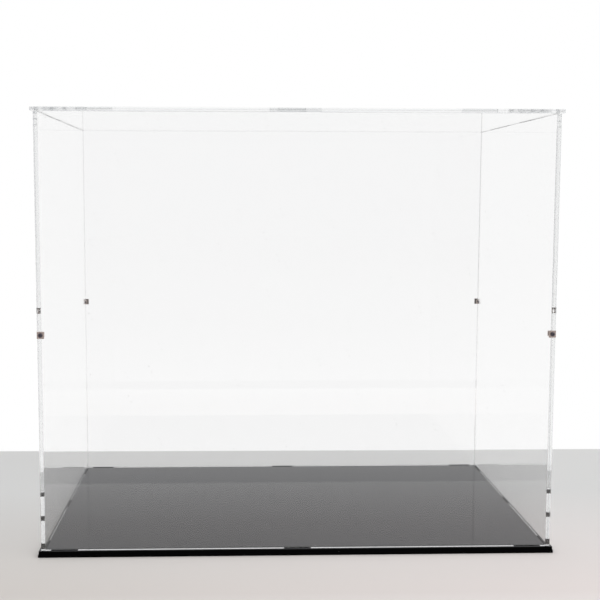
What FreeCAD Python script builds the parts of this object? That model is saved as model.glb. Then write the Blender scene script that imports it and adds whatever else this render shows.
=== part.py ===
import FreeCAD, Part
import os

Vector = FreeCAD.Vector

# A clear display case for models: a black base of two sheets, four clear walls that stand
# in it on tabs, and a clear top that drops over tabs on the walls.
# +X is to the viewer's right, +Y to the back, +Z up. The origin is under the base's middle.

# Driving dimensions of the case, in millimetres
case_width = 400.0        # over the outer faces of the side walls
case_depth = 256.0        # over the outer faces of the front and back walls
wall_height = 338.5       # from the deck to the underside of the top
sheet = 3.0               # clear sheet of the walls and the top
base_sheet = 2.5          # each black sheet of the base
deck_overhang = 1.7       # slotted upper sheet of the base, beyond the walls
foot_overhang = 2.2       # lower sheet of the base, beyond the walls
top_overhang = 2.1        # top, beyond the walls

# Tabs and slots
foot_tab = 21.0           # length of a wall's tab in the base
foot_tab_inset = 7.4      # from the case's corner to the first tab of the front or back wall
side_tab_inset = 5.8      # the same along a side wall
top_tab = 32.5            # length of a wall's tab in the top
top_tab_inset = 8.0       # from the case's corner to a wall's first tab in the top
slot_clearance = 0.15     # between a tab and each side of its slot
air_film = 0.05           # between two sheets that lie against each other

# Corner fixings: a screw and square washer on the front or back wall, into a nut in the side wall
washer_width = 5.4        # of the square washer, level with the side wall's outer face
washer_thickness = 1.0
nut_width = 4.0           # across the flats of the square nut
nut_thickness = 1.6
nut_clearance = 0.1       # round the nut in its pocket
screw_diameter = 2.0
screw_length = 10.0       # under the head
screw_clearance = 0.2     # round the screw in its holes and channel
thread_clearance = 0.05   # round the screw in the nut
head_diameter = 3.4
head_height = 1.3
head_rim = 0.7            # height of the head's straight side, under its dome
recess_span = 1.9         # of the cross recess in the head
recess_width = 0.45
recess_depth = 0.8
neck = 2.0                # of side wall between its end and the nut

# Levels and half sizes that follow from these
deck_level = 2 * base_sheet
wall_foot = deck_level + air_film
wall_top = deck_level + wall_height
top_underside = wall_top + air_film
top_surface = top_underside + sheet
half_width = case_width / 2
half_depth = case_depth / 2
side_wall_end = half_depth - sheet - air_film
screw_inset = washer_width / 2
fixing_height = deck_level + wall_height / 2
head_face = half_depth + washer_thickness


def flat_face(outlines):
    """A flat face from closed outlines of 3D points: the outer edge first, then its openings."""
    wires = [Part.makePolygon(outline + outline[:1]) for outline in outlines]
    return Part.makeFace(wires, "Part::FaceMakerBullseye")


def tab_spans(length, inset, tab):
    """Start and end of an edge's three tabs: one at each end and one in the middle."""
    first = inset - length / 2
    return [(first, first + tab), (-tab / 2, tab / 2), (-first - tab, -first)]


def tabbed_edge(spans, level, tip):
    """Points along a wall's edge, stepping from the edge's level to the tip at each tab."""
    points = []
    for start, end in spans:
        points += [(start, level), (start, tip), (end, tip), (end, level)]
    return points


def nut_slot(end):
    """Points of the T-shaped slot in a side wall's end at +end, from its lower to its upper lip."""
    channel = screw_diameter / 2 + screw_clearance
    pocket = nut_width / 2 + nut_clearance
    pocket_front = end - neck
    pocket_back = pocket_front - nut_thickness - 2 * nut_clearance
    channel_end = head_face - screw_length - screw_clearance
    lower_half = [
        (end, channel),
        (pocket_front, channel),
        (pocket_front, pocket),
        (pocket_back, pocket),
        (pocket_back, channel),
        (channel_end, channel),
    ]
    lower = [(along, fixing_height - drop) for along, drop in lower_half]
    upper = [(along, fixing_height + rise) for along, rise in reversed(lower_half)]
    return lower + upper


def wall_outline(length, end, foot_inset, slotted):
    """A wall's outline as (along, height) points, anticlockwise, with its tabs and nut slots."""
    foot_tip = base_sheet + air_film
    bottom = tabbed_edge(tab_spans(length, foot_inset, foot_tab), wall_foot, foot_tip)
    top = tabbed_edge(tab_spans(length, top_tab_inset, top_tab), wall_top, top_surface)
    right = nut_slot(end) if slotted else []
    left = [(-along, height) for along, height in reversed(right)]
    outline = [(-end, wall_foot)] + bottom + [(end, wall_foot)] + right
    return outline + [(end, wall_top)] + top[::-1] + [(-end, wall_top)] + left


def front_wall():
    """The front wall runs the full width and covers the side walls' ends."""
    outline = wall_outline(case_width, half_width, foot_tab_inset, False)
    face = flat_face([[Vector(along, -half_depth, height) for along, height in outline]])
    wall = face.extrude(Vector(0, sheet, 0))
    hole_radius = screw_diameter / 2 + screw_clearance
    for side in (-1, 1):
        centre = Vector(side * (half_width - screw_inset), -half_depth, fixing_height)
        wall = wall.cut(Part.makeCylinder(hole_radius, sheet, centre, Vector(0, 1, 0)))
    return wall


def right_wall():
    """A side wall stands between the front and back walls and holds a nut in each end."""
    outline = wall_outline(case_depth, side_wall_end, side_tab_inset, True)
    face = flat_face([[Vector(half_width, along, height) for along, height in outline]])
    return face.extrude(Vector(-sheet, 0, 0))


def rectangle(low_x, high_x, low_y, high_y, level):
    """The four corners of an upright rectangle at a level."""
    return [
        Vector(low_x, low_y, level),
        Vector(high_x, low_y, level),
        Vector(high_x, high_y, level),
        Vector(low_x, high_y, level),
    ]


def slots(tab, front_inset, side_inset, level):
    """Outlines of the twelve slots for the walls' tabs, three to a wall."""
    outer = slot_clearance
    inner = sheet + slot_clearance
    outlines = []
    for side in (-1, 1):
        for start, end in tab_spans(case_width, front_inset, tab):
            across = sorted([side * (half_depth + outer), side * (half_depth - inner)])
            outlines.append(rectangle(start - outer, end + outer, *across, level))
        for start, end in tab_spans(case_depth, side_inset, tab):
            across = sorted([side * (half_width + outer), side * (half_width - inner)])
            outlines.append(rectangle(*across, start - outer, end + outer, level))
    return outlines


def plate(overhang, level, thickness, openings):
    """A horizontal sheet that reaches beyond the walls on every side."""
    reach_x = half_width + overhang
    reach_y = half_depth + overhang
    outline = rectangle(-reach_x, reach_x, -reach_y, reach_y, level)
    return flat_face([outline] + openings).extrude(Vector(0, 0, thickness))


def fixing_axis_point(depth):
    """A point on the front left screw's axis, at a depth along +Y."""
    return Vector(screw_inset - half_width, depth, fixing_height)


def front_left_screw():
    """A pan-head screw along +Y, with a cross recess in its domed head."""
    radius = screw_diameter / 2
    head = head_diameter / 2
    lead = screw_diameter / 5
    dome = head_height - head_rim
    rim_corner = Vector(head, -head_rim, 0)
    shoulder = Vector(head * 0.6, -head_rim - dome * 0.7, 0)
    crown = Vector(0, -head_height, 0)
    straight = [
        crown,
        Vector(0, screw_length, 0),
        Vector(radius - lead, screw_length, 0),
        Vector(radius, screw_length - lead, 0),
        Vector(radius, 0, 0),
        Vector(head, 0, 0),
        rim_corner,
    ]
    arc = Part.Arc(rim_corner, shoulder, crown).toShape()
    profile = Part.Wire(Part.makePolygon(straight).Edges + [arc])
    screw = Part.Face(profile).revolve(Vector(0, 0, 0), Vector(0, 1, 0), 360)
    for wide, tall in ((recess_span, recess_width), (recess_width, recess_span)):
        corner = Vector(-wide / 2, -head_height - recess_depth, -tall / 2)
        screw = screw.cut(Part.makeBox(wide, 2 * recess_depth, tall, corner))
    screw.translate(fixing_axis_point(-head_face))
    return screw


def square_with_hole(width, thickness, hole_radius, front):
    """A square plate on the front left screw's axis, with the screw's hole through it."""
    axis_point = fixing_axis_point(front)
    corner = axis_point - Vector(width / 2, 0, width / 2)
    plate_body = Part.makeBox(width, thickness, width, corner)
    return plate_body.cut(Part.makeCylinder(hole_radius, thickness, axis_point, Vector(0, 1, 0)))


def front_left_washer():
    """A square washer under the screw's head, against the front wall."""
    hole_radius = screw_diameter / 2 + screw_clearance
    return square_with_hole(washer_width, washer_thickness, hole_radius, -head_face)


def front_left_nut():
    """A square nut in the side wall's slot, proud of the wall's inner face."""
    hole_radius = screw_diameter / 2 + thread_clearance
    front = nut_clearance + neck - side_wall_end
    return square_with_hole(nut_width, nut_thickness, hole_radius, front)


def across_width(shape):
    """The same piece on the other side of the case."""
    return shape.mirror(Vector(0, 0, 0), Vector(1, 0, 0))


def across_depth(shape):
    """The same piece at the other end of the case."""
    return shape.mirror(Vector(0, 0, 0), Vector(0, 1, 0))


def corner_pieces(name, front_left):
    """One piece at each of the case's four upright corners, by name."""
    back_left = across_depth(front_left)
    return {
        name + "_front_left": front_left,
        name + "_front_right": across_width(front_left),
        name + "_back_left": back_left,
        name + "_back_right": across_width(back_left),
    }


deck_slots = slots(foot_tab, foot_tab_inset, side_tab_inset, base_sheet)
top_slots = slots(top_tab, top_tab_inset, top_tab_inset, top_underside)
front = front_wall()
right = right_wall()

pieces = {
    "base_lower_plate": plate(foot_overhang, 0, base_sheet, []),
    "base_upper_plate": plate(deck_overhang, base_sheet, base_sheet, deck_slots),
    "front_panel": front,
    "back_panel": across_depth(front),
    "left_panel": across_width(right),
    "right_panel": right,
    "top_panel": plate(top_overhang, top_underside, sheet, top_slots),
}
pieces.update(corner_pieces("corner_screw", front_left_screw()))
pieces.update(corner_pieces("corner_washer", front_left_washer()))
pieces.update(corner_pieces("corner_nut", front_left_nut()))

os.makedirs("parts", exist_ok=True)
for name, shape in pieces.items():
    shape.exportStep("parts/" + name + ".step")
    box = shape.BoundBox
    size = f"{box.XLength:.1f} x {box.YLength:.1f} x {box.ZLength:.1f} mm"
    volume = f"{shape.Volume / 1000:.2f} cm3"
    print(f"{name}: {size}, {volume}, valid {shape.isValid()}, solids {len(shape.Solids)}")
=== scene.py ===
# %% [markdown]
# # A clear display case, dressed in Blender
# The case is cut from flat sheet: clear walls and a clear top on a glossy black base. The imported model
# holds every piece at its real size and place, in metres. This lesson gives those pieces what a flat
# cut solid lacks: eased edges, true clear acrylic, a polished black deck and small threaded fixings.

import bmesh
import bpy
from math import cos, pi, radians, sin
from mathutils import Matrix, Vector


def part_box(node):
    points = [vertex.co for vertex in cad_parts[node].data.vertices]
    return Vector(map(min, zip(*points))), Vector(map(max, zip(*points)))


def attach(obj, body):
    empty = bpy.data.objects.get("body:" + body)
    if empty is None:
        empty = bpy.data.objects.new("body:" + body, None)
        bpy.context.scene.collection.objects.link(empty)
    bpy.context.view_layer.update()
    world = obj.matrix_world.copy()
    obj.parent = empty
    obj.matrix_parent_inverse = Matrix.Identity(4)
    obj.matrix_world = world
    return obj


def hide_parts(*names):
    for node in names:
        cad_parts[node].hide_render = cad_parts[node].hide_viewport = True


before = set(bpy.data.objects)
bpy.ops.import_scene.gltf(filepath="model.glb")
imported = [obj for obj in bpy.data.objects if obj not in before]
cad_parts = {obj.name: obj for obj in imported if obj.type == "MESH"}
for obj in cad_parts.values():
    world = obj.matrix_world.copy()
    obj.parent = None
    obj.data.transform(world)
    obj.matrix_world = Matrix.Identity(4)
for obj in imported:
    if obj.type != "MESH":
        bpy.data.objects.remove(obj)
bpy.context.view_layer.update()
MILLIMETRE = 0.001

# %% [markdown]
# ## Sums on sockets
# A finish is easier to read as a sum than as a web of nodes. One small class wraps a socket, so that
# Python's own operators on it add Math nodes, and one method adds any other kind of node.


# %% A socket that can be added, taken away and multiplied
class Socket:
    """A socket of a node tree. Operators on it add Math nodes to the tree."""

    def __init__(self, tree, end):
        self.tree = tree
        self.end = end

    def node(self, kind, settings=None, sockets=None, output=0):
        """Adds a node of any kind: first its settings, then the values or links of its sockets."""
        made = self.tree.nodes.new(kind)
        for name, setting in (settings or {}).items():
            if name == "stops":
                set_stops(made.color_ramp, setting)
            else:
                setattr(made, name, setting)
        for key, value in (sockets or {}).items():
            if isinstance(value, Socket):
                self.tree.links.new(value.end, made.inputs[key])
            else:
                made.inputs[key].default_value = value
        return Socket(self.tree, made.outputs[output])

    def math(self, operation, first, second):
        return self.node("ShaderNodeMath", {"operation": operation}, {0: first, 1: second})

    def __add__(self, other):
        return self.math("ADD", self, other)

    def __sub__(self, other):
        return self.math("SUBTRACT", self, other)

    def __rsub__(self, other):
        return self.math("SUBTRACT", other, self)

    def __mul__(self, other):
        return self.math("MULTIPLY", self, other)

    __radd__ = __add__
    __rmul__ = __mul__


def set_stops(ramp, stops):
    """Gives a colour ramp its grey stops, as (place, grey) pairs."""
    while len(ramp.elements) > 1:
        ramp.elements.remove(ramp.elements[-1])
    for number, (place, grey) in enumerate(stops):
        stop = ramp.elements[0] if number == 0 else ramp.elements.new(place)
        stop.position = place
        stop.color = (grey, grey, grey, 1)


# %% The start and the end of a finish


def start_material(name):
    """A new material with an empty tree, and its Object coordinates to build on."""
    material = bpy.data.materials.new(name)
    material.use_nodes = True
    material.node_tree.nodes.clear()
    coordinates = material.node_tree.nodes.new("ShaderNodeTexCoord")
    return material, Socket(material.node_tree, coordinates.outputs["Object"])


def end_material(material, surface):
    """Leads a finished surface to the material's output."""
    output = material.node_tree.nodes.new("ShaderNodeOutputMaterial")
    material.node_tree.links.new(surface.end, output.inputs["Surface"])
    print("Finish made:", material.name)
    return material


# %% A ramp, a mix of two colours and one coordinate


def ramp_between(place, value, low, high):
    """Rises from 0 at low to 1 at high. Low may be the larger number."""
    return place.node("ShaderNodeMapRange", {}, {"Value": value, "From Min": low, "From Max": high})


def mix_colours(place, amount, first, second):
    """The first colour where the amount is 0, the second where it is 1."""
    return place.node("ShaderNodeMix", {"data_type": "RGBA"}, {0: amount, 6: first, 7: second}, 2)


def axis_of(place, axis):
    """One coordinate of a place."""
    return place.node("ShaderNodeSeparateXYZ", {}, {"Vector": place}, axis)


# %% [markdown]
# ## Dust
# Polished sheet draws dust, and a few specks tell the eye where a clear wall is. Loose grains would be
# far too many pieces, so the specks are part of the finishes: small spots round the points of a Voronoi
# pattern. A flat pattern seen from above would smear down a wall, so the height is slanted into both of
# its coordinates, and the specks lie on level and upright sheets alike.

# %% Specks of dust
SPECKS_PER_METRE = 30.0
SPECK_CORE = 0.006
SPECK_EDGE = 0.010
SLANT_ACROSS = 0.37
SLANT_BACK = 0.61


def dust_specks(place):
    """1 on small specks and 0 between them."""
    height = axis_of(place, "Z")
    across = axis_of(place, "X") + height * SLANT_ACROSS
    back = axis_of(place, "Y") + height * SLANT_BACK
    slanted = place.node("ShaderNodeCombineXYZ", {}, {"X": across, "Y": back})
    from_speck = place.node(
        "ShaderNodeTexVoronoi",
        {"voronoi_dimensions": "2D", "feature": "F1"},
        {"Vector": slanted, "Scale": SPECKS_PER_METRE},
    )
    return ramp_between(place, from_speck, SPECK_EDGE, SPECK_CORE)


print("Specks of dust:", SPECKS_PER_METRE, "in each metre of a row")

# %% [markdown]
# ## Clear acrylic
# Cast acrylic sheet is clear, bends light with an index of 1.49 and hardly tints it. A thin glass trick
# would lose what makes such a case look real: the bright and dark lines in its edges, which are the room
# seen through and reflected inside the sheet. So each wall is a true solid that light goes through.
# The faces carry only the dust. The cut edges are as clear but take more of the light, and those of the
# tabs that stand in the base are dull, with a painted shade of near black where they sit in their black
# slots.

# %% Clear faces and cut edges
ACRYLIC_IOR = 1.49
CLEAR_TINT = (0.994, 0.994, 0.994, 1)
CUT_TINT = (0.93, 0.935, 0.938, 1)
DUSTY_TINT = (0.55, 0.55, 0.54, 1)
# Painted shade: below the deck, the tabs' cut edges turn near black where they sit in their black slots.
SLOT_SHADE_COLOUR = (0.02, 0.02, 0.02, 1)
IN_SLOT_ROUGHNESS = 0.6
SLOT_SHADE_AMOUNT = 0.85
SLOT_SHADE_EDGE = 0.3 * MILLIMETRE
deck_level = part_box("base_upper_plate")[1].z


def clear_acrylic(place, colour):
    """A polished clear surface with a solid's own bending of light."""
    return place.node(
        "ShaderNodeBsdfPrincipled",
        {},
        {"Base Color": colour, "Roughness": 0.0, "IOR": ACRYLIC_IOR, "Transmission Weight": 1.0},
    )


def clear_face_finish():
    material, place = start_material("clear acrylic face")
    colour = mix_colours(place, dust_specks(place), CLEAR_TINT, DUSTY_TINT)
    return end_material(material, clear_acrylic(place, colour))


def cut_edge_finish():
    material, place = start_material("clear acrylic cut edge")
    # Below the deck level the cut edge takes the painted shade of its black slot.
    in_base = ramp_between(place, axis_of(place, "Z"), deck_level, deck_level - SLOT_SHADE_EDGE)
    clear = clear_acrylic(place, CUT_TINT)
    slot_shaded = place.node(
        "ShaderNodeBsdfPrincipled", {}, {"Base Color": SLOT_SHADE_COLOUR, "Roughness": IN_SLOT_ROUGHNESS}
    )
    surface = place.node("ShaderNodeMixShader", {}, {0: in_base * SLOT_SHADE_AMOUNT, 1: clear, 2: slot_shaded})
    return end_material(material, surface)


clear_face = clear_face_finish()
cut_edge = cut_edge_finish()

# %% [markdown]
# ## Black acrylic
# The base is the same sheet in solid black. It is almost a mirror at a low angle, so its look comes from
# what it reflects, and the finish only has to break that mirror with a few specks of dust. Its cut edges
# are duller, and almost all their light is lost in the black.

# %% Polished black faces and cut edges
# The black is the sheet's own colour; its faint blue is a painted reflection of the cool light that the
# deck mirrors.
BLACK = (0.0045, 0.005, 0.009, 1)
BLACK_EDGE = (0.0015, 0.0015, 0.0015, 1)
DUST = (0.5, 0.5, 0.49, 1)
DUST_ROUGHNESS = 0.4
DECK_SHINE = 0.155
BLACK_EDGE_SHINE = 0.02
BLACK_EDGE_ROUGHNESS = 0.2
RIPPLE_ROUGHNESS = 0.1
RIPPLE_PER_METRE = 1900.0
RIPPLE_DETAIL = 2.0


def black_acrylic(place, colour, roughness, shine):
    """Solid black sheet, whose shine is how much of the room it mirrors."""
    return place.node(
        "ShaderNodeBsdfPrincipled",
        {},
        {"Base Color": colour, "Roughness": roughness, "IOR": ACRYLIC_IOR, "Specular IOR Level": shine},
    )


def black_face_finish():
    material, place = start_material("polished black acrylic")
    specks = dust_specks(place)
    colour = mix_colours(place, specks, BLACK, DUST)
    return end_material(material, black_acrylic(place, colour, specks * DUST_ROUGHNESS, DECK_SHINE))


def black_edge_finish():
    material, place = start_material("black acrylic cut edge")
    ripple = place.node(
        "ShaderNodeTexNoise", {}, {"Vector": place, "Scale": RIPPLE_PER_METRE, "Detail": RIPPLE_DETAIL}
    )
    roughness = BLACK_EDGE_ROUGHNESS + ripple * RIPPLE_ROUGHNESS
    return end_material(material, black_acrylic(place, BLACK_EDGE, roughness, BLACK_EDGE_SHINE))


black_face = black_face_finish()
black_edge = black_edge_finish()

# %% [markdown]
# ## Eased sheets
# A solid from drawings has perfectly sharp edges, and a real cut edge is never that sharp. Each sheet is
# copied, its loose triangles are merged into flat faces, and every sharp edge gets a small round easing.
# The copy takes the node's place, so its tabs and slots stay where the model has them. Faces that look
# along the sheet's thickness are its polished faces, and all the others were cut.

# %% From a shape to a mesh and an object


def mesh_of(shape, name):
    """Turns a finished shape into a mesh, and frees the shape."""
    mesh = bpy.data.meshes.new(name)
    shape.to_mesh(mesh)
    shape.free()
    return mesh


def new_object(name, data):
    """A new object in the scene, at the origin."""
    made = bpy.data.objects.new(name, data)
    bpy.context.scene.collection.objects.link(made)
    return made


# %% Copy, merge and ease each sheet
CLEAR_EASE = 0.20 * MILLIMETRE
BLACK_EASE = 0.15 * MILLIMETRE
EASE_STEPS = 2
EASE_ROUNDNESS = 0.5
SHARP = radians(30)
FLAT = radians(1)
MERGE = 0.001 * MILLIMETRE
ALONG_THICKNESS = 0.99
X_AXIS, Y_AXIS, Z_AXIS = 0, 1, 2


def eased_sheet(node, ease, thickness_axis, finishes):
    """A copy of a sheet's node with eased edges, and a finish each for its faces and its cut edges."""
    shape = bmesh.new()
    shape.from_mesh(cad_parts[node].data)
    bmesh.ops.remove_doubles(shape, verts=shape.verts, dist=MERGE)
    bmesh.ops.dissolve_limit(shape, angle_limit=FLAT, verts=shape.verts, edges=shape.edges)
    bmesh.ops.bevel(
        shape,
        geom=[edge for edge in shape.edges if edge.calc_face_angle(0) > SHARP],
        offset=ease,
        segments=EASE_STEPS,
        profile=EASE_ROUNDNESS,
        affect="EDGES",
        clamp_overlap=True,
    )
    shape.normal_update()
    for face in shape.faces:
        face.material_index = 0 if abs(face.normal[thickness_axis]) > ALONG_THICKNESS else 1
    mesh = mesh_of(shape, node + "_sheet")
    for finish in finishes:
        mesh.materials.append(finish)
    print("Sheet eased:", node, "with", len(mesh.polygons), "faces")
    return new_object(node + "_sheet", mesh)


def dress_sheet(node, body, ease, thickness_axis, finishes):
    """Eases a sheet and lets it stand for its node."""
    sheet = eased_sheet(node, ease, thickness_axis, finishes)
    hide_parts(node)
    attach(sheet, body)


for plate in ("base_lower_plate", "base_upper_plate"):
    dress_sheet(plate, "base", BLACK_EASE, Z_AXIS, [black_face, black_edge])
for wall, thickness_axis in (
    ("front_panel", Y_AXIS),
    ("back_panel", Y_AXIS),
    ("left_panel", X_AXIS),
    ("right_panel", X_AXIS),
):
    dress_sheet(wall, "walls", CLEAR_EASE, thickness_axis, [clear_face, cut_edge])
dress_sheet("top_panel", "top", CLEAR_EASE, Z_AXIS, [clear_face, cut_edge])

# %% [markdown]
# ## Metal of the fixings
# The small squares at half height are warm, slightly worn plated metal, and the screws on them are dark
# plated steel. Both are rolled or turned, so a stretched noise gives them a brushed sheen.

# %% Washer metal and screw steel
WASHER_LIGHT = (0.66, 0.55, 0.50, 1)
WASHER_DARK = (0.48, 0.39, 0.355, 1)
WASHER_ROUGHNESS = 0.28
WASHER_BRUSH = (9000.0, 900.0, 600.0)
STEEL_LIGHT = (0.20, 0.18, 0.20, 1)
STEEL_DARK = (0.08, 0.07, 0.085, 1)
STEEL_ROUGHNESS = 0.3
STEEL_BRUSH = (3000.0, 300.0, 3000.0)
BRUSH_ROUGHNESS = 0.15
BRUSH_RELIEF = 0.15
BRUSH_HEIGHT = 0.02 * MILLIMETRE
BRUSH_DETAIL = 3.0
STAINS_PER_METRE = 500.0
STAIN_DETAIL = 4.0


def brushed_metal_finish(name, light, dark, roughness, brush):
    """Stained metal with brushed lines. The brush is the lines' count to the metre along each axis."""
    material, place = start_material(name)
    brushed = place.node("ShaderNodeMapping", {}, {"Vector": place, "Scale": brush})
    lines = place.node("ShaderNodeTexNoise", {}, {"Vector": brushed, "Scale": 1.0, "Detail": BRUSH_DETAIL})
    stains = place.node(
        "ShaderNodeTexNoise", {}, {"Vector": place, "Scale": STAINS_PER_METRE, "Detail": STAIN_DETAIL}
    )
    relief = place.node(
        "ShaderNodeBump", {}, {"Strength": BRUSH_RELIEF, "Distance": BRUSH_HEIGHT, "Height": lines}
    )
    surface = place.node(
        "ShaderNodeBsdfPrincipled",
        {},
        {
            "Base Color": mix_colours(place, stains, light, dark),
            "Metallic": 1.0,
            "Roughness": roughness + lines * BRUSH_ROUGHNESS,
            "Normal": relief,
        },
    )
    return end_material(material, surface)


washer_metal = brushed_metal_finish(
    "plated washer metal", WASHER_LIGHT, WASHER_DARK, WASHER_ROUGHNESS, WASHER_BRUSH
)
screw_steel = brushed_metal_finish(
    "dark plated steel", STEEL_LIGHT, STEEL_DARK, STEEL_ROUGHNESS, STEEL_BRUSH
)

# %% [markdown]
# ## One screw, one washer, one nut
# The three pieces are modelled once, around the screw's axis, with the head's bearing face at zero.
# Each is a row of rings round that axis, joined by faces. A turned head has round rings, and the thread has
# rings whose radius rises and falls along a helix. The washer and the nut are squares with a round hole,
# so their rings go from the hole to the square and back. A tapered cross is then cut into the head.

# %% Sizes read from the model
screw_low, screw_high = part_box("corner_screw_front_left")
washer_low, washer_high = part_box("corner_washer_front_left")
nut_low, nut_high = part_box("corner_nut_front_left")
bearing = washer_low.y
HEAD_RADIUS = (screw_high.x - screw_low.x) / 2
HEAD_HEIGHT = bearing - screw_low.y
SHANK_LENGTH = screw_high.y - bearing
SHANK_RADIUS = 1.0 * MILLIMETRE
head_width = round(2 * HEAD_RADIUS / MILLIMETRE, 2)
shank_length = round(SHANK_LENGTH / MILLIMETRE, 2)
print("Screw head", head_width, "mm wide, shank", shank_length, "mm long")

# %% Rings round the axis
ROUND = 32
ANGLES = [2 * pi * step / ROUND for step in range(ROUND)]


def ring(shape, radii, depth):
    """A ring of points round the axis, at a depth along it, with a radius for each angle."""
    points = [(radius * cos(angle), depth, radius * sin(angle)) for radius, angle in zip(radii, ANGLES)]
    return [shape.verts.new(point) for point in points]


def circle(radius):
    return [radius] * ROUND


def square(half):
    return [half / max(abs(cos(angle)), abs(sin(angle))) for angle in ANGLES]


def join_rings(shape, rings):
    """Faces between each ring and the next."""
    for near, far in zip(rings, rings[1:]):
        for step in range(len(near)):
            after = (step + 1) % len(near)
            shape.faces.new((near[step], near[after], far[after], far[step]))


print("Points in a ring:", ROUND)

# %% Turned and threaded screw
DOME = HEAD_HEIGHT * 0.46
RIM = HEAD_HEIGHT - DOME
RIM_EASE = 0.08 * MILLIMETRE
DOME_TILTS = [radians(tilt) for tilt in range(12, 91, 13)]
THREAD_PITCH = 0.4 * MILLIMETRE
THREAD_DEPTH = 0.2 * MILLIMETRE
THREAD_STEPS = 6
TIP_LENGTH = 2 * THREAD_DEPTH
TIP_START = SHANK_RADIUS - 1.2 * THREAD_DEPTH
TIP_END = SHANK_RADIUS - 2 * THREAD_DEPTH
thread_end = SHANK_LENGTH - TIP_LENGTH


def thread(depth):
    """Radii of the thread at a depth: a ridge that winds along a helix."""
    radii = []
    for step in range(ROUND):
        phase = (depth / THREAD_PITCH - step / ROUND) % 1.0
        ridge = 1 - abs(2 * phase - 1)
        radii.append(SHANK_RADIUS - THREAD_DEPTH * (1 - ridge))
    return radii


def screw_mesh():
    """A pan-head screw along +Y from its bearing face, with a helical thread."""
    shape = bmesh.new()
    rings = [ring(shape, circle(HEAD_RADIUS * sin(tilt)), -RIM - DOME * cos(tilt)) for tilt in DOME_TILTS]
    rings.append(ring(shape, circle(HEAD_RADIUS), -RIM_EASE))
    rings.append(ring(shape, circle(HEAD_RADIUS - RIM_EASE), 0.0))
    rings.append(ring(shape, circle(SHANK_RADIUS - THREAD_DEPTH), 0.0))
    count = int(thread_end / THREAD_PITCH * THREAD_STEPS)
    for level in range(1, count):
        depth = thread_end * level / count
        rings.append(ring(shape, thread(depth), depth))
    rings.append(ring(shape, circle(TIP_START), thread_end))
    rings.append(ring(shape, circle(TIP_END), SHANK_LENGTH))
    join_rings(shape, rings)
    shape.faces.new(rings[0])
    shape.faces.new(reversed(rings[-1]))
    bmesh.ops.recalc_face_normals(shape, faces=shape.faces)
    return mesh_of(shape, "screw_master")


screw_master = new_object("screw_master", screw_mesh())
print("Screw has", len(screw_master.data.polygons), "faces")

# %% Cross recess in the screw's head
RECESS_REACH = HEAD_RADIUS * 0.58
RECESS_HALF_WIDTH = HEAD_RADIUS * 0.13
RECESS_FLOOR = -HEAD_HEIGHT * 0.42
RECESS_MOUTH = -HEAD_HEIGHT * 1.3
RECESS_TAPER = 0.62
QUARTERS = 4


def cross_cutter_mesh():
    """A cross whose arms narrow towards the bottom of the recess."""
    shape = bmesh.new()
    reach, width = RECESS_REACH, RECESS_HALF_WIDTH
    arm = [(reach, -width), (reach, width), (width, width)]
    outline = []
    for quarter in range(QUARTERS):
        outline += arm
        arm = [(-z, x) for x, z in arm]
    mouth = [shape.verts.new((x, RECESS_MOUTH, z)) for x, z in outline]
    floor = [shape.verts.new((x * RECESS_TAPER, RECESS_FLOOR, z * RECESS_TAPER)) for x, z in outline]
    join_rings(shape, [mouth, floor])
    shape.faces.new(mouth)
    shape.faces.new(reversed(floor))
    bmesh.ops.recalc_face_normals(shape, faces=shape.faces)
    return mesh_of(shape, "cross_cutter")


def applied(piece):
    """A plain mesh of a piece with its modifiers worked in."""
    bpy.context.view_layer.update()
    evaluated = piece.evaluated_get(bpy.context.evaluated_depsgraph_get())
    return bpy.data.meshes.new_from_object(evaluated)


cross_cutter = new_object("cross_cutter", cross_cutter_mesh())
cut = screw_master.modifiers.new("cross recess", "BOOLEAN")
cut.operation = "DIFFERENCE"
cut.object = cross_cutter
screw_master.data = applied(screw_master)
screw_master.modifiers.clear()
bpy.data.objects.remove(cross_cutter)
print("Screw with its recess has", len(screw_master.data.polygons), "faces")

# %% Square washer and nut
FIXING_EASE = 0.12 * MILLIMETRE
WASHER_ROOM = 0.2 * MILLIMETRE
NUT_ROOM = 0.05 * MILLIMETRE


def square_with_hole(name, low, high, hole):
    """A square plate in a box of the model, with a round hole, eased round its outline and its hole."""
    shape = bmesh.new()
    ease = FIXING_EASE
    half = (high.x - low.x) / 2
    front = low.y - bearing
    back = high.y - bearing
    rings = [
        ring(shape, circle(hole), front + ease),
        ring(shape, circle(hole + ease), front),
        ring(shape, square(half - ease), front),
        ring(shape, square(half), front + ease),
        ring(shape, square(half), back - ease),
        ring(shape, square(half - ease), back),
        ring(shape, circle(hole + ease), back),
        ring(shape, circle(hole), back - ease),
    ]
    join_rings(shape, rings + rings[:1])
    bmesh.ops.recalc_face_normals(shape, faces=shape.faces)
    return new_object(name, mesh_of(shape, name))


washer_master = square_with_hole("washer_master", washer_low, washer_high, SHANK_RADIUS + WASHER_ROOM)
nut_master = square_with_hole("nut_master", nut_low, nut_high, SHANK_RADIUS + NUT_ROOM)
print("Washer and nut have", len(washer_master.data.polygons), "faces each")

# %% [markdown]
# ## The four corners
# The same set of screw, washer and nut comes at all four upright corners, turned round at the back.
# A small Geometry Nodes tree puts a master piece on each corner point and turns it by two numbers that
# the points carry: which way the wall faces, and how far that screw happened to be driven.

# %% A tree that repeats a piece at the corners


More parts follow.
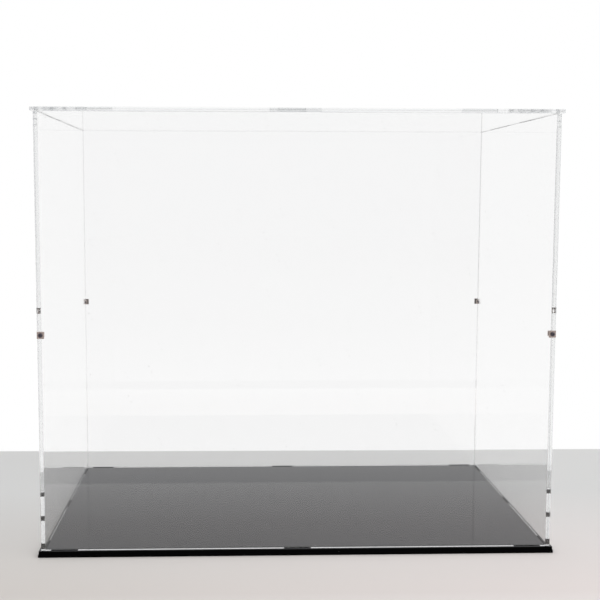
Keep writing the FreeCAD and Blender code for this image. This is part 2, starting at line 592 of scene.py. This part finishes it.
def corner_tree():
    tree = bpy.data.node_groups.new("repeat at corners", "GeometryNodeTree")
    face = tree.interface
    face.new_socket("Geometry", in_out="INPUT", socket_type="NodeSocketGeometry")
    face.new_socket("Piece", in_out="INPUT", socket_type="NodeSocketObject")
    face.new_socket("Finish", in_out="INPUT", socket_type="NodeSocketMaterial")
    face.new_socket("Geometry", in_out="OUTPUT", socket_type="NodeSocketGeometry")
    entry = tree.nodes.new("NodeGroupInput")
    leave = tree.nodes.new("NodeGroupOutput")
    start = Socket(tree, entry.outputs["Geometry"])
    master = Socket(tree, entry.outputs["Piece"])
    finish = Socket(tree, entry.outputs["Finish"])
    piece = start.node("GeometryNodeObjectInfo", {}, {"Object": master}, "Geometry")
    twist = start.node("GeometryNodeInputNamedAttribute", {"data_type": "FLOAT"}, {"Name": "twist"})
    facing = start.node("GeometryNodeInputNamedAttribute", {"data_type": "FLOAT"}, {"Name": "facing"})
    turned = start.node("ShaderNodeCombineXYZ", {}, {"Y": twist, "Z": facing})
    placed = start.node(
        "GeometryNodeInstanceOnPoints", {}, {"Points": start, "Instance": piece, "Rotation": turned}
    )
    real = start.node("GeometryNodeRealizeInstances", {}, {"Geometry": placed})
    dressed = start.node("GeometryNodeSetMaterial", {}, {"Geometry": real, "Material": finish})
    tree.links.new(dressed.end, leave.inputs["Geometry"])
    return tree


repeat_at_corners = corner_tree()
print("Tree made:", repeat_at_corners.name, "with", len(repeat_at_corners.nodes), "nodes")

# %% The fixings at their corners
CORNERS = ("front_left", "front_right", "back_left", "back_right")
SCREW_TWISTS = (radians(20), radians(8), radians(-25), radians(40))
NO_TWIST = (0.0, 0.0, 0.0, 0.0)


def corner_points(name, twists):
    """One point on each screw's axis, at the washer's face, with its facing and twist."""
    spots = []
    for corner in CORNERS:
        low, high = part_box("corner_washer_" + corner)
        depth = low.y if corner.startswith("front") else high.y
        spots.append(((low.x + high.x) / 2, depth, (low.z + high.z) / 2))
    mesh = bpy.data.meshes.new(name)
    mesh.from_pydata(spots, [], [])
    facing = mesh.attributes.new("facing", "FLOAT", "POINT")
    twist = mesh.attributes.new("twist", "FLOAT", "POINT")
    for number, corner in enumerate(CORNERS):
        facing.data[number].value = 0.0 if corner.startswith("front") else pi
        twist.data[number].value = twists[number]
    return mesh


def repeat_fixing(name, master, finish, twists):
    """Puts a master piece at the four corners, as one plain mesh that stands for its nodes."""
    piece = new_object(name, corner_points(name, twists))
    modifier = piece.modifiers.new("corners", "NODES")
    modifier.node_group = repeat_at_corners
    inputs = [item for item in repeat_at_corners.interface.items_tree if item.in_out == "INPUT"]
    sockets = {item.name: item.identifier for item in inputs}
    modifier[sockets["Piece"]] = master
    modifier[sockets["Finish"]] = finish
    piece.data = applied(piece)
    piece.modifiers.clear()
    bpy.data.objects.remove(master)
    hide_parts(*[name.removesuffix("s") + "_" + corner for corner in CORNERS])
    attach(piece, "walls")
    print(name, "made with", len(piece.data.polygons), "faces")


repeat_fixing("corner_screws", screw_master, screw_steel, SCREW_TWISTS)
repeat_fixing("corner_washers", washer_master, washer_metal, NO_TWIST)
repeat_fixing("corner_nuts", nut_master, washer_metal, NO_TWIST)

# %% [markdown]
# ## Table and backdrop
# A clear case is seen by what stands round it. A pale table runs under the case, from a white backdrop
# behind to a floor in front. Its colour holds painted light: it is lighter to the right and paler towards
# its front edge, where more light falls. The floor beyond is dark in a narrow strip, then pale, then grey.
# That part is out of the picture, but the walls mirror it: the table's front edge shows as a faint line
# across the deck. The walls almost vanish before the white, because each gains from the room in front
# nearly what it loses.

# %% Places and colours of the table and the floor
WHITE = (1, 1, 1, 1)
BACKDROP = 1.0
TABLE_BACK = 0.2135
TABLE_SLANT = 0.0106
TABLE_FRONT = -0.336
EDGE_SOFTNESS = 0.0015
TABLE_REACH = 6.0
TABLE_ROUGHNESS = 0.7
TABLE_COOL = (0.685, 0.685, 0.68, 1)
# Painted light: the warm tone is darker on the left and lighter on the right, and the front edge is painted
# paler, where more light falls.
TABLE_WARM_SHADED_LEFT = (0.612, 0.582, 0.552, 1)
TABLE_WARM_LIT_RIGHT = (0.82, 0.752, 0.737, 1)
TABLE_LIT_FRONT = (0.97, 0.96, 0.95, 1)
WARM_FROM = 0.05
WARM_TO = -0.2
LIT_FRONT_FROM = -0.21
LEFT_TO_RIGHT = 0.3
FLOOR_NEAR = (0.42, 0.42, 0.42, 1)
FLOOR_MIDDLE = (0.78, 0.78, 0.78, 1)
FLOOR_FAR = (0.55, 0.55, 0.55, 1)
FLOOR_MIDDLE_FROM = -0.396
FLOOR_MIDDLE_TO = -0.41
FLOOR_FAR_FROM = -0.45
FLOOR_FAR_TO = -1.1
print("Table is", round(TABLE_BACK - TABLE_FRONT, 3), "m deep")

# %% Pale table between a white backdrop and a floor


def table_colour(place, across, depth):
    """Painted light: cool under the case's back, warm towards its front, lighter to the right and pale at
    the front edge.
    """
    rightness = ramp_between(place, across, -LEFT_TO_RIGHT, LEFT_TO_RIGHT)
    warm = mix_colours(place, rightness, TABLE_WARM_SHADED_LEFT, TABLE_WARM_LIT_RIGHT)
    warmth = ramp_between(place, depth, WARM_FROM, WARM_TO)
    under_case = mix_colours(place, warmth, TABLE_COOL, warm)
    towards_front = ramp_between(place, depth, LIT_FRONT_FROM, TABLE_FRONT)
    return mix_colours(place, towards_front, under_case, TABLE_LIT_FRONT)


def floor_colour(place, depth):
    """Dark by the table, then pale, then grey."""
    past_dark = ramp_between(place, depth, FLOOR_MIDDLE_FROM, FLOOR_MIDDLE_TO)
    near = mix_colours(place, past_dark, FLOOR_NEAR, FLOOR_MIDDLE)
    far_off = ramp_between(place, depth, FLOOR_FAR_FROM, FLOOR_FAR_TO)
    return mix_colours(place, far_off, near, FLOOR_FAR)


def table_finish():
    material, place = start_material("pale table")
    across = axis_of(place, "X")
    depth = axis_of(place, "Y")
    slanted = depth + across * TABLE_SLANT
    behind = ramp_between(place, slanted, TABLE_BACK - EDGE_SOFTNESS, TABLE_BACK + EDGE_SOFTNESS)
    in_front = 1 - ramp_between(place, depth, TABLE_FRONT - EDGE_SOFTNESS, TABLE_FRONT + EDGE_SOFTNESS)
    colour = mix_colours(place, in_front, table_colour(place, across, depth), floor_colour(place, depth))
    table = place.node("ShaderNodeBsdfPrincipled", {}, {"Base Color": colour, "Roughness": TABLE_ROUGHNESS})
    white = place.node("ShaderNodeEmission", {}, {"Color": WHITE, "Strength": BACKDROP})
    surface = place.node("ShaderNodeMixShader", {}, {0: behind, 1: table, 2: white})
    return end_material(material, surface)


def table_mesh():
    mesh = bpy.data.meshes.new("table")
    reach = TABLE_REACH
    corners = [(-reach, -reach, 0), (reach, -reach, 0), (reach, reach, 0), (-reach, reach, 0)]
    mesh.from_pydata(corners, [], [(0, 1, 2, 3)])
    mesh.materials.append(table_finish())
    return mesh


new_object("table", table_mesh())

# %% [markdown]
# ## Light
# The backdrop is a white band behind the case that fades upwards. The rest of the room is grey, and darker
# higher up, so that the sheets' edges draw thin dark lines against the white. A bright ceiling gives most
# of the light, and one large soft lamp to the front and right gives it a side.

# %% White backdrop in a grey room
ROOM = 0.5
ROOM_ABOVE = 0.2
ROOM_TINT = (0.98, 0.985, 1.0, 1)
DARKENS_FROM = 0.235
DARKENS_TO = 0.265
CEILING = 1.10
CEILING_FROM = 0.5
CEILING_TO = 0.65
FADE_UPWARDS = [(0.25, 1.0), (0.34, 0.7), (0.5, 0.0)]
SIDEWAYS_FROM = -0.1
SIDEWAYS_TO = 0.3


def glow(towards, colour, strength):
    return towards.node("ShaderNodeBackground", {}, {"Color": colour, "Strength": strength})


def blend(towards, amount, first, second):
    """The first light where the amount is 0, the second where it is 1."""
    return towards.node("ShaderNodeMixShader", {}, {0: amount, 1: first, 2: second})


def room_light(towards):
    """The light of the room, by the direction that it comes from."""
    upwards = axis_of(towards, "Z")
    at_the_back = ramp_between(towards, axis_of(towards, "Y"), SIDEWAYS_FROM, SIDEWAYS_TO)
    below_fade = towards.node("ShaderNodeValToRGB", {"stops": FADE_UPWARDS}, {"Fac": upwards})
    higher_up = ramp_between(towards, upwards, DARKENS_FROM, DARKENS_TO)
    overhead = ramp_between(towards, upwards, CEILING_FROM, CEILING_TO)
    room = blend(towards, higher_up, glow(towards, ROOM_TINT, ROOM), glow(towards, ROOM_TINT, ROOM_ABOVE))
    low_part = blend(towards, at_the_back * below_fade, room, glow(towards, WHITE, BACKDROP))
    return blend(towards, overhead, low_part, glow(towards, WHITE, CEILING))


world = bpy.data.worlds.new("grey room with a white backdrop")
world.use_nodes = True
world.node_tree.nodes.clear()
direction = world.node_tree.nodes.new("ShaderNodeTexCoord")
around = room_light(Socket(world.node_tree, direction.outputs["Generated"]))
world_output = world.node_tree.nodes.new("ShaderNodeOutputWorld")
world.node_tree.links.new(around.end, world_output.inputs["Surface"])
bpy.context.scene.world = world
bpy.context.scene.view_settings.view_transform = "Standard"
print("World made:", world.name)

# %% One soft lamp
LAMP_PLACE = Vector((1.6, -1.2, 1.6))
LAMP_TARGET = Vector((0, 0, 0.1))
LAMP_WIDTH = 2.4
LAMP_HEIGHT = 2.0
LAMP_WATTS = 12.0

lamp = bpy.data.lights.new("soft lamp", "AREA")
lamp.shape = "RECTANGLE"
lamp.size = LAMP_WIDTH
lamp.size_y = LAMP_HEIGHT
lamp.energy = LAMP_WATTS
lamp_object = new_object("soft lamp", lamp)
lamp_object.location = LAMP_PLACE
lamp_object.rotation_euler = (LAMP_TARGET - LAMP_PLACE).to_track_quat("-Z", "Y").to_euler()
print("Lamp made:", LAMP_WATTS, "W,", LAMP_WIDTH, "by", LAMP_HEIGHT, "m")

# %% [markdown]
# ## Light inside the sheets
# Light that enters a sheet's end runs to the other end in some twenty reflections, so it needs many
# bounces, and the first few are never cut short, which keeps the thin lines in the edges clean. Light that
# reaches the table through the walls stays unblurred, or the clear case would shade the table like frosted
# glass.

# %% Enough bounces to follow light along a sheet
BOUNCES = 64
SURE_BOUNCES = 8

cycles = bpy.context.scene.cycles
cycles.blur_glossy = 0.0
cycles.min_light_bounces = SURE_BOUNCES
cycles.max_bounces = BOUNCES
cycles.transmission_bounces = BOUNCES
cycles.glossy_bounces = BOUNCES
print("Bounces:", BOUNCES, "at most, of which", SURE_BOUNCES, "are sure")

# %% [markdown]
# ## Camera
# The camera stands a little left of the case's middle and above its mid height, and looks slightly down.
# Its place, turn and focal length were fitted to the case's straight edges. The picture is cropped off the
# lens's middle, so a small sideways shift is part of the framing.

# %% Camera at the photograph's view
PICTURE = 600
FOCAL_PIXELS = 1063.4
LENS_MIDDLE_X = 270.0
CAMERA_PLACE = (-0.05106, -0.93881, 0.28217)
CAMERA_YAW = radians(2.05)
CAMERA_PITCH = radians(5.706)
CAMERA_ROLL = radians(-0.13)
SENSOR_WIDTH = 36.0
NEAREST_SEEN = 0.01

camera = bpy.data.cameras.new("camera")
camera.sensor_width = SENSOR_WIDTH
camera.lens = FOCAL_PIXELS * SENSOR_WIDTH / PICTURE
camera.shift_x = (PICTURE / 2 - LENS_MIDDLE_X) / PICTURE
camera.clip_start = NEAREST_SEEN
camera_object = new_object("camera", camera)
turn = Matrix.Rotation(-CAMERA_YAW, 4, "Z") @ Matrix.Rotation(pi / 2 - CAMERA_PITCH, 4, "X")
camera_object.matrix_world = Matrix.Translation(CAMERA_PLACE) @ turn @ Matrix.Rotation(-CAMERA_ROLL, 4, "Z")
bpy.context.scene.camera = camera_object
print("Camera made:", round(camera.lens, 1), "mm lens, shifted by", round(camera.shift_x, 3))
